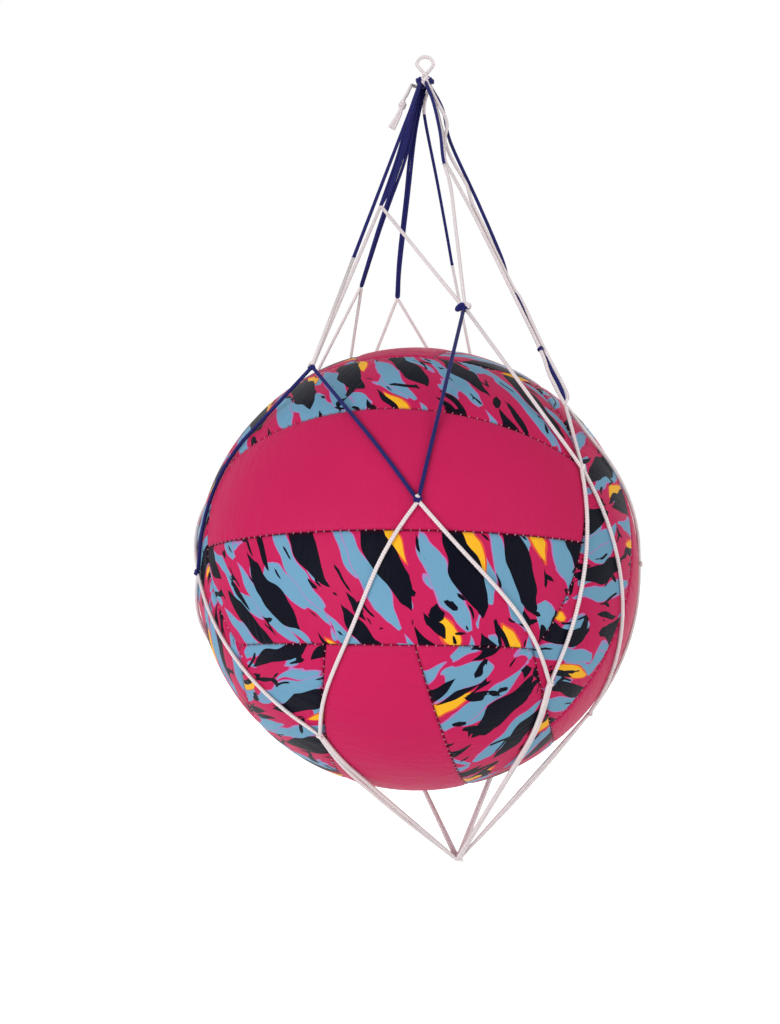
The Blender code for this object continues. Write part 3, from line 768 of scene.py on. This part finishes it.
def wrap(centre, axis, out, turns, wide, deep, pitch, start=0.0, radius=None):
    """Tube of a cord wound round an axis, its ends tucked in. wide and deep are the winding's half sizes."""
    axis = axis.normalized()
    out = (out - axis * out.dot(axis)).normalized()
    side = axis.cross(out)
    count = int(turns * WRAP_STEPS)
    points = []
    for step in range(count + 1):
        share = step / count
        angle = start + 2 * math.pi * turns * share
        tuck = 1 - WRAP_TUCK * max(0, 1 - min(share, 1 - share) * turns * 5)
        place = axis * pitch * turns * (share - 0.5)
        points.append(centre + place + (side * math.cos(angle) * wide + out * math.sin(angle) * deep) * tuck)
    return tube(points, radius or CORD_RADIUS * WRAP_THIN)


up = Vector((0, 0, 1))
front = Vector((0, -1, 0))
right = Vector((1, 0, 0))


def smooth_route(points, steps):
    guides = [Vector(point) for point in points]
    guides = [guides[0] * 2 - guides[1]] + guides + [guides[-1] * 2 - guides[-2]]
    route = []
    for p0, p1, p2, p3 in zip(guides, guides[1:], guides[2:], guides[3:]):
        for step in range(steps):
            t = step / steps
            bow = (2 * p0 - 5 * p1 + 4 * p2 - p3) * t * t + (3 * p1 - p0 - 3 * p2 + p3) * t * t * t
            route.append((2 * p1 + (p2 - p0) * t + bow) / 2)
    return route + [guides[-2]]


def swayed(start, end, sway):
    """Slack strand. sway has rows of share of the way, and millimetres to the right and forward."""
    guides = [start]
    for share, aside, forward in sway:
        guides.append(start.lerp(end, share) + (right * aside + front * forward) * MM)
    return smooth_route(guides + [end], SMOOTH_STEPS)


def split(points, share):
    """Route cut in two at a share of the way between its ends."""
    way = points[-1] - points[0]
    apart = [abs((point - points[0]).dot(way) / way.length_squared - share) for point in points]
    at = apart.index(min(apart))
    return points[: at + 1], points[at:]


gather = Vector((0, 0, GATHER_HEIGHT))
tops = [hanging_knot(*knot) for knot in REAR_TOPS]
fronts = [hanging_knot(*knot) for knot in FRONT_KNOTS]
rears = [polar(*knot, KNOT_REACH) for knot in REAR_KNOTS]
waist = [polar(*knot, KNOT_REACH) for knot in WAIST_KNOTS]
lower = [polar(*knot, KNOT_REACH) for knot in LOWER_KNOTS]
crown = ring(gather, 167.0, 7, CROWN_RADIUS)
hem = ring(BOTTOM, -13.0, 6, HEM_RADIUS)
hitch = gather + HITCH_PLACE

# Blue loops over the rear tops and the hitch, then a strand that is spliced to white cord.
# Rows of slack: share of the way, and millimetres to the right and forward.
LEG_SWAY = (
    ((0.2, -2.0, 0.0), (0.5, -1.6, 0.0), (0.85, -1.2, 0.0)),
    ((0.2, -1.3, 0.0), (0.5, -1.6, 0.0), (0.7, -2.0, 0.0), (0.9, -1.0, 0.0)),
    ((0.15, 2.0, 0.0), (0.35, 3.2, 0.0), (0.55, 1.9, 0.0), (0.7, 0.9, 0.0)),
    ((0.3, 0.4, 0.0), (0.5, 1.4, 0.0), (0.7, 2.3, 0.0), (0.85, 1.5, 0.0)),
    ((0.25, -0.3, 0.2), (0.6, 0.7, 0.4)),
    ((0.1, 1.0, 0.2), (0.35, 1.6, 0.4), (0.75, 0.2, 0.2)),
)
blue_row = open_row([crown[0], tops[1], crown[1], tops[2], crown[2], hitch, crown[3], fronts[0]])
white_row = open_row([crown[3], fronts[0], hitch, fronts[1], crown[4], fronts[2], crown[5]])
along = (white_row[1][0] - blue_row[6][-1]).normalized()
splice = blue_row[6][-1] + along * SPLICE_LENGTH
blue_route = []
for stop, after, sway in zip(blue_row, blue_row[1:7], LEG_SWAY):
    blue_route += stop[:-1] + swayed(stop[-1], after[0], sway)[:-1]
add_cord("blue_hanging_loops", blue_route + blue_row[6] + [splice], False, "blue_cord")

# White loops. The strand above the second front knot is blue near the top, and two strands are slack.
LINK_SWAY = ((0.3, 1.9, 0.0), (0.5, 3.0, 0.0), (0.62, 1.9, 0.0), (0.75, 2.7, 0.0), (0.9, 2.0, 0.0))
NEAR_SWAY = (
    (0.06, 0.5, 0.8), (0.14, 0.9, 1.4), (0.2, -3.5, 1.6), (0.27, -7.6, 1.5),
    (0.33, -6.7, 0.9), (0.45, -4.6, 0.5), (0.65, -2.3, 0.3), (0.85, -0.3, 0.2),
    (0.92, -1.0, 0.2),
)
FAR_SWAY = (
    (0.03, 2.4, 0.0), (0.15, 0.7, 0.0), (0.29, -0.2, 0.0), (0.34, -1.7, 0.0),
    (0.5, -3.0, 0.0), (0.59, -4.0, 0.0), (0.65, -3.0, 0.0), (0.73, -4.8, 0.0),
    (0.79, -4.6, -0.1), (0.9, -2.0, -0.4),
)
WHIPPED_PART = (0.853, 0.809)
link = swayed(white_row[3][-1], white_row[4][0], LINK_SWAY)
white_link, blue_link = split(link, 0.584)
white_start = [splice] + white_row[1] + run(white_row, 1, 3)[1:] + white_row[3][1:] + white_link[1:]
add_cord("white_hanging_loops", white_start, False, "white_cord")
near = swayed(white_row[4][-1], white_row[5][0], NEAR_SWAY)
far = swayed(white_row[5][-1], white_row[6][0], FAR_SWAY)
slack = near[:-1] + white_row[5] + far[1:]
whipped, above_whipping = (split(near, share)[1][0] for share in WHIPPED_PART)
add_run("white_slack_loop", slack, "white_cord")
add_run("blue_link_strand", blue_link, "blue_cord")

# Blue strand beside that pair, over the gathering knot and down to the first rear top
tie = (white_row[5][0] + white_row[5][-1]) / 2 - front * 0.4 * MM
second_row = open_row([tie, crown[6], tops[0]])
BLUE_SWAY = (
    (0.03, 1.0, 0.3), (0.1, 0.3, 0.3), (0.16, 0.7, -0.5), (0.22, 0.2, -0.4),
    (0.3, -1.1, 0.6), (0.36, -1.5, -0.9), (0.43, -0.5, -0.1), (0.6, -0.7, 0.0),
    (0.76, -1.7, 0.0), (0.83, -1.2, -0.2), (0.92, 1.3, 0.2),
)
FALL_SWAY = ((0.1, -3.8, 0.0), (0.2, -4.2, 0.0), (0.5, -2.3, 0.0), (0.8, -0.8, 0.0))
rise = swayed(tie, second_row[1][0], BLUE_SWAY)
fall = swayed(second_row[1][-1], tops[0], FALL_SWAY)
white_fall, blue_fall = split(fall, 0.13)
add_cord("blue_hanging_strands", rise, False, "blue_cord")
add_run("blue_rear_strand", blue_fall, "blue_cord")
add_run("white_rear_strand", white_fall, "white_cord")
add_cord("rear_hanging_loops", run(open_row(woven(tops, rears)), 0, 5), False, "white_cord")

# Meshes round the ball
meshes = closed_row(woven(waist, fronts + rears))
add_cord("blue_front_meshes", run(meshes, 0, 3, {0: (-13.0,)}), False, "blue_cord")
add_cord("white_front_meshes", run(meshes, 3, 6), False, "white_cord")
add_cord("rear_meshes", run(meshes, 6, 12), False, "white_cord")
LOWER_BOWS = {1: (-3.6, 0.0, -0.9), 2: (3.0, -1.3), 4: (-1.2,)}
add_cord("lower_meshes", loop(closed_row(woven(waist, lower)), LOWER_BOWS), True, "white_cord")
CLOSING_SAG = {11: 1.6, 4: 1.6, 7: 1.4, 9: 1.8}
closing = closed_row(woven(lower, hem))
closing_route = []
for index, stop in enumerate(closing):
    after = closing[(index + 1) % len(closing)]
    closing_route += stop + sagging(stop[-1], after[0], CLOSING_SAG.get(index, 0.0))
add_cord("closing_meshes", closing_route, True, "white_cord")


# Knots, in millimetres from the place where the bends of two rows meet
def knot_axis(knot, above):
    """Direction in which the strands of a knot come down to it."""
    return (above - knot).normalized() if above.length > knot.length + MM else sideways(knot, above)


def tied(place, above, turns, wide, deep, pitch=1.2, lift=0.0, aside=0.0, start=0.0, thin=0.9):
    """Tube of a few turns of cord round the strands at a knot, clear of the ball."""
    axis = knot_axis(place, above)
    out = place.normalized()
    centre = place + axis * lift * MM + out.cross(axis).normalized() * -aside * MM
    radius = CORD_RADIUS * thin
    lowest = BALL_RADIUS + KNOT_CLEARANCE + deep * MM + radius
    centre *= max(1, lowest / centre.length)
    return wrap(centre + CENTRE, axis, out, turns, wide * MM, deep * MM, pitch * MM, start, radius)


def curl(place, wide, tall, lean):
    """Tube of a small open loop of cord that hangs at a knot."""
    points = []
    for step in range(CURL_STEPS):
        angle = 2 * math.pi * step / CURL_STEPS
        x, z = wide * math.cos(angle), tall * math.sin(angle)
        aside = right * (x * math.cos(lean) - z * math.sin(lean))
        rise = up * (x * math.sin(lean) + z * math.cos(lean))
        points.append(place + CENTRE + (aside + rise + front * 0.5 * math.sin(angle)) * MM)
    return tube(points, CORD_RADIUS * WRAP_THIN, True)


blue_parts = [
    tied(fronts[0], gather, 1.1, 1.2, 0.8, lift=-0.9, start=0.6, thin=0.8),
    tied(fronts[1], gather, 1.2, 1.0, 0.9, lift=-1.0, start=2.0, thin=0.8),
    curl(fronts[1] + (right * -2.0 + up * -0.2 + front * 0.9) * MM, 1.7, 0.62, 0.7),
    tied(waist[0], up, 1.4, 1.1, 0.7, thin=0.8),
    tied(waist[1], up, 1.6, 1.15, 0.8, lift=0.3, start=1.0, thin=0.85),
    tied(whipped, above_whipping, 2.4, 0.95, 0.95, pitch=0.6, thin=0.5),
    tied(tops[0], gather, 1.0, 0.5, 0.5, lift=0.6, thin=0.6),
    tied(splice, splice + along * -0.05, 1.0, 0.5, 0.5, lift=0.6, thin=0.6),
]
white_parts = [
    tied(fronts[0], gather, 1.0, 0.9, 0.9, lift=0.7, aside=-0.8, start=1.5),
    tied(fronts[1], gather, 1.4, 1.2, 1.3, lift=0.3, aside=1.3, start=1.0),
    tied(waist[1], up, 0.8, 0.6, 1.3, lift=1.3, start=0.4, thin=0.7),
]
for index, knot in enumerate(waist[2:] + lower + rears):
    white_parts.append(tied(knot, up, 1.2, 0.95, 0.7, start=index * 1.3, thin=0.8))
add_tubes("blue_net_knots", blue_parts, "blue_cord")
add_tubes("white_net_knots", white_parts, "white_cord")


# Bottom knot, gathering knot and hanging loop
KNOT_END = ((0, 0.4), (1.2, 0.9), (2.1, 1.3), (2.9, 1.5))  # millimetres to the right and down
below = BOTTOM + CENTRE
parts = [
    wrap(below + up * 1.0 * MM, up - right * 0.3, front, 1.5, 1.5 * MM, 1.5 * MM, 1.2 * MM),
    wrap(below - up * 0.4 * MM, right * 0.8 + up * 0.35, front, 1.6, 0.9 * MM, 1.1 * MM, 1.2 * MM, 1.0),
    tube([below + (right * aside - up * down) * MM for aside, down in KNOT_END], CORD_RADIUS),
]
piece = add_tubes("bottom_knot_cord", parts, "white_cord")
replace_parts(piece, "bottom_knot")

top = gather + CENTRE
parts = [
    wrap(top + right * -1.9 * MM, right * 0.85 + up * 0.5, front, 2.3, 2.1 * MM, 2.5 * MM, 1.4 * MM),
    wrap(top + right * 1.9 * MM, right * 0.85 - up * 0.5, front, 2.3, 2.1 * MM, 2.5 * MM, 1.4 * MM, 1.5),
]
piece = add_tubes("gathering_knot_blue", parts, "blue_cord", "neck")
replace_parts(piece, "gathering_knot")
parts = [wrap(top + front * 0.6 * MM, right * 0.25 + up, front, 2.2, 1.9 * MM, 2.9 * MM, 1.5 * MM, 0.7)]
add_tubes("gathering_knot_white", parts, "white_cord", "neck")

leg = 1.05 * MM
loop_radius = 4.0 * MM
HOOP_STEPS = 8
LOOP_STEPS = 6
middle = CORD_RADIUS - loop_radius
turns = [math.pi * (1 - step / HOOP_STEPS) for step in range(HOOP_STEPS + 1)]
hoop = [(loop_radius * math.cos(turn), 0, middle + loop_radius * math.sin(turn)) for turn in turns]
legs = [
    (leg, 0, -GATHER_DROP + 1.4 * MM),
    (leg * 0.6, -leg * 0.7, -GATHER_DROP + 3.4 * MM),
    (-leg * 1.1, -leg * 0.6, -GATHER_DROP + 5.2 * MM),
]
loop_points = legs + hoop + [(-x, -y, z) for x, y, z in legs[::-1]]
parts = [tube(smooth_route(loop_points, LOOP_STEPS), CORD_RADIUS)]
piece = add_tubes("hanging_loop_cord", parts, "white_cord", "hanger")
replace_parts(piece, "hanging_loop")

# Free tail of the drawstring, with its small stopper knot and its sealed flat end
TAIL_POINTS = (
    (-0.0015, 0.0064, 0.0008), (-0.0045, 0.0050, 0.0007), (-0.0063, 0.0024, 0.0000),
    (-0.0070, 0.0000, -0.0022), (-0.0083, -0.0006, -0.0054), (-0.0099, -0.0012, -0.0086),
    (-0.0108, -0.0016, -0.0118), (-0.0118, -0.0019, -0.0152), (-0.0135, -0.0021, -0.0190),
    (-0.0158, -0.0022, -0.0234),
)
tail_route = [point + top for point in smooth_route(TAIL_POINTS, SMOOTH_STEPS)]
tail_length = sum((after - before).length for before, after in zip(tail_route, tail_route[1:]))
FLAT_FROM = 0.68  # share of the tail above its flattened end
TAIL_THINNING = 0.6
FLAT_SIDES = 14
FLAT_POWER = 0.6  # below 1, so that the flat end has a squarer section than an ellipse

# Cord that leads from inside the gathering knot, round behind it, to the start of the tail
ROOT_POINTS = (
    (0.0016, 0.0006, 0.0002),
    (0.0024, 0.0026, 0.0004),
    (0.0024, 0.0047, 0.0006),
    (0.0011, 0.0067, 0.0008),
)
root_route = smooth_route(ROOT_POINTS + TAIL_POINTS[:2], SMOOTH_STEPS)
root_end = SMOOTH_STEPS * len(ROOT_POINTS) + 2  # one step past the start of the tail, inside it
add_run("drawstring_root", [gather + point for point in root_route[:root_end]], "white_cord")


def thinned(share):
    """Tail's thickness at a share of its length, less and less inside the flat end that covers it."""
    return 1 - TAIL_THINNING * max(0, (share - FLAT_FROM) / (1 - FLAT_FROM))


def ribbon(points, start, end):
    """Flattened cord. start and end are half its width and half its thickness at each end."""
    sides = FLAT_SIDES
    made, faces, layout = tube(points, MM, sides=sides)
    for index, point in enumerate(points):
        share = index / (len(points) - 1)
        wide, thick = ((1 - share) * first + share * last for first, last in zip(start, end))
        way = points[min(index + 1, len(points) - 1)] - points[max(index - 1, 0)]
        side = way.cross(front).normalized()
        for step in range(sides):
            angle = 2 * math.pi * step / sides
            circle = (math.cos(angle), math.sin(angle))
            across, out = (math.copysign(abs(part) ** FLAT_POWER, part) for part in circle)
            made[index * sides + step] = point + side * across * wide - front * out * thick
    return made, faces, layout


parts = [tube(tail_route, CORD_RADIUS, taper=thinned)]
tail = add_tubes("drawstring_tail_cord", parts, "white_cord")
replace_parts(tail, "drawstring_tail")
stopper_at = Vector(TAIL_POINTS[6]) + top
stopper_way = (Vector(TAIL_POINTS[7]) - Vector(TAIL_POINTS[5])).normalized()
parts = [wrap(stopper_at, stopper_way, front, 2.0, 1.25 * MM, 1.25 * MM, 1.2 * MM)]
stopper = add_tubes("drawstring_stopper_knot", parts, "white_cord")
flat_route = tail_route[round(FLAT_FROM * (len(tail_route) - 1)) :]
parts = [ribbon(flat_route, (0.9 * MM, 0.85 * MM), (1.9 * MM, 0.45 * MM))]
flat_end = add_tubes("drawstring_flat_end", parts, "white_cord")
tuple(tail_route[0])
[tuple(point) for point in tail_route]

# Solids that stay: the layers under the skins, and the valve
for name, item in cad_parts.items():
    finish = None
    if name.endswith("_foam"):
        finish = FOAM
    elif name in ("cloth_lining", "valve_patch"):
        finish = CLOTH
    elif name in ("bladder", "valve_stem", "valve_plug"):
        finish = RUBBER
    if finish:
        item.data.materials.clear()
        item.data.materials.append(finish)

# Floor, light and camera
FLOOR_REACH = 6.0
FLOOR_LEVEL = -0.72
FLOOR_TONE = 0.8
FLOOR_GLOW = 0.8
WORLD_LIGHT = 0.5
floor_mesh = bpy.data.meshes.new("floor")
corners = [(x * FLOOR_REACH, y * FLOOR_REACH, FLOOR_LEVEL) for x, y in ((-1, -1), (1, -1), (1, 1), (-1, 1))]
floor_mesh.from_pydata(corners, [], [(0, 1, 2, 3)])
floor = bpy.data.objects.new("floor", floor_mesh)
bpy.context.scene.collection.objects.link(floor)


def seen_directly(tree):
    """1 for rays that show the background itself."""
    path = tree.nodes.new("ShaderNodeLightPath")
    total = path.outputs["Is Camera Ray"]
    for name in ("Is Glossy Ray", "Is Transmission Ray"):
        both = tree.nodes.new("ShaderNodeMath")
        both.operation = "MAXIMUM"
        tree.links.new(total, both.inputs[0])
        tree.links.new(path.outputs[name], both.inputs[1])
        total = both.outputs[0]
    return total


def lit_background(tree, strength):
    """White emission for the rays that show the background."""
    glow = tree.nodes.new("ShaderNodeEmission")
    power = tree.nodes.new("ShaderNodeMath")
    power.operation = "MULTIPLY"
    tree.links.new(seen_directly(tree), power.inputs[0])
    power.inputs[1].default_value = strength
    tree.links.new(power.outputs[0], glow.inputs["Strength"])
    return glow


floor_material = bpy.data.materials.new("pale_floor")
floor_material.use_nodes = True
tree = floor_material.node_tree
shader = tree.nodes["Principled BSDF"]
shader.inputs["Base Color"].default_value = (FLOOR_TONE, FLOOR_TONE, FLOOR_TONE, 1.0)
shader.inputs["Roughness"].default_value = 0.9
shader.inputs["Specular IOR Level"].default_value = 0.0
total = tree.nodes.new("ShaderNodeAddShader")
tree.links.new(shader.outputs[0], total.inputs[0])
tree.links.new(lit_background(tree, FLOOR_GLOW).outputs[0], total.inputs[1])
tree.links.new(total.outputs[0], tree.nodes["Material Output"].inputs["Surface"])
floor_mesh.materials.append(floor_material)

world = bpy.data.worlds.new("studio")
bpy.context.scene.world = world
world.use_nodes = True
tree = world.node_tree
background = tree.nodes["Background"]
background.inputs["Color"].default_value = (1, 1, 1, 1)
strength = tree.nodes.new("ShaderNodeMath")
strength.operation = "MULTIPLY_ADD"
tree.links.new(seen_directly(tree), strength.inputs[0])
strength.inputs[1].default_value = 1 - WORLD_LIGHT
strength.inputs[2].default_value = WORLD_LIGHT
tree.links.new(strength.outputs[0], background.inputs["Strength"])


def add_lamp(name, place, size, power, colour):
    data = bpy.data.lights.new(name, "AREA")
    data.shape = "DISK"
    data.size = size
    data.energy = power
    data.color = colour
    lamp = bpy.data.objects.new(name, data)
    bpy.context.scene.collection.objects.link(lamp)
    lamp.location = place
    lamp.rotation_euler = (Vector(place) - CENTRE).to_track_quat("Z", "Y").to_euler()


add_lamp("key", (-0.9, -1.2, -0.26), 1.2, 12.4, (1.0, 0.98, 1.0))
add_lamp("fill", (1.1, -0.9, -0.1), 1.1, 5.0, (1.0, 0.94, 0.90))
add_lamp("back", (0.3, 1.5, 0.0), 1.0, 4.5, (1.0, 0.99, 0.98))

CAMERA_PLACE = (-0.0130, -0.4328, -0.2220)
CAMERA_AXES = Matrix(((0.99982, -0.01892, 0.0), (0.0, 0.0, -1.0), (0.01892, 0.99982, 0.0)))
camera_data = bpy.data.cameras.new("camera")
camera_data.sensor_fit = "VERTICAL"
camera_data.sensor_height = 24.0
camera_data.lens = 20.745
camera_data.clip_start = 0.01
camera = bpy.data.objects.new("camera", camera_data)
bpy.context.scene.collection.objects.link(camera)
camera.matrix_world = Matrix.Translation(CAMERA_PLACE) @ CAMERA_AXES.to_4x4()
bpy.context.scene.camera = camera
bpy.context.scene.view_settings.view_transform = "Standard"

bpy.context.view_layer.update()
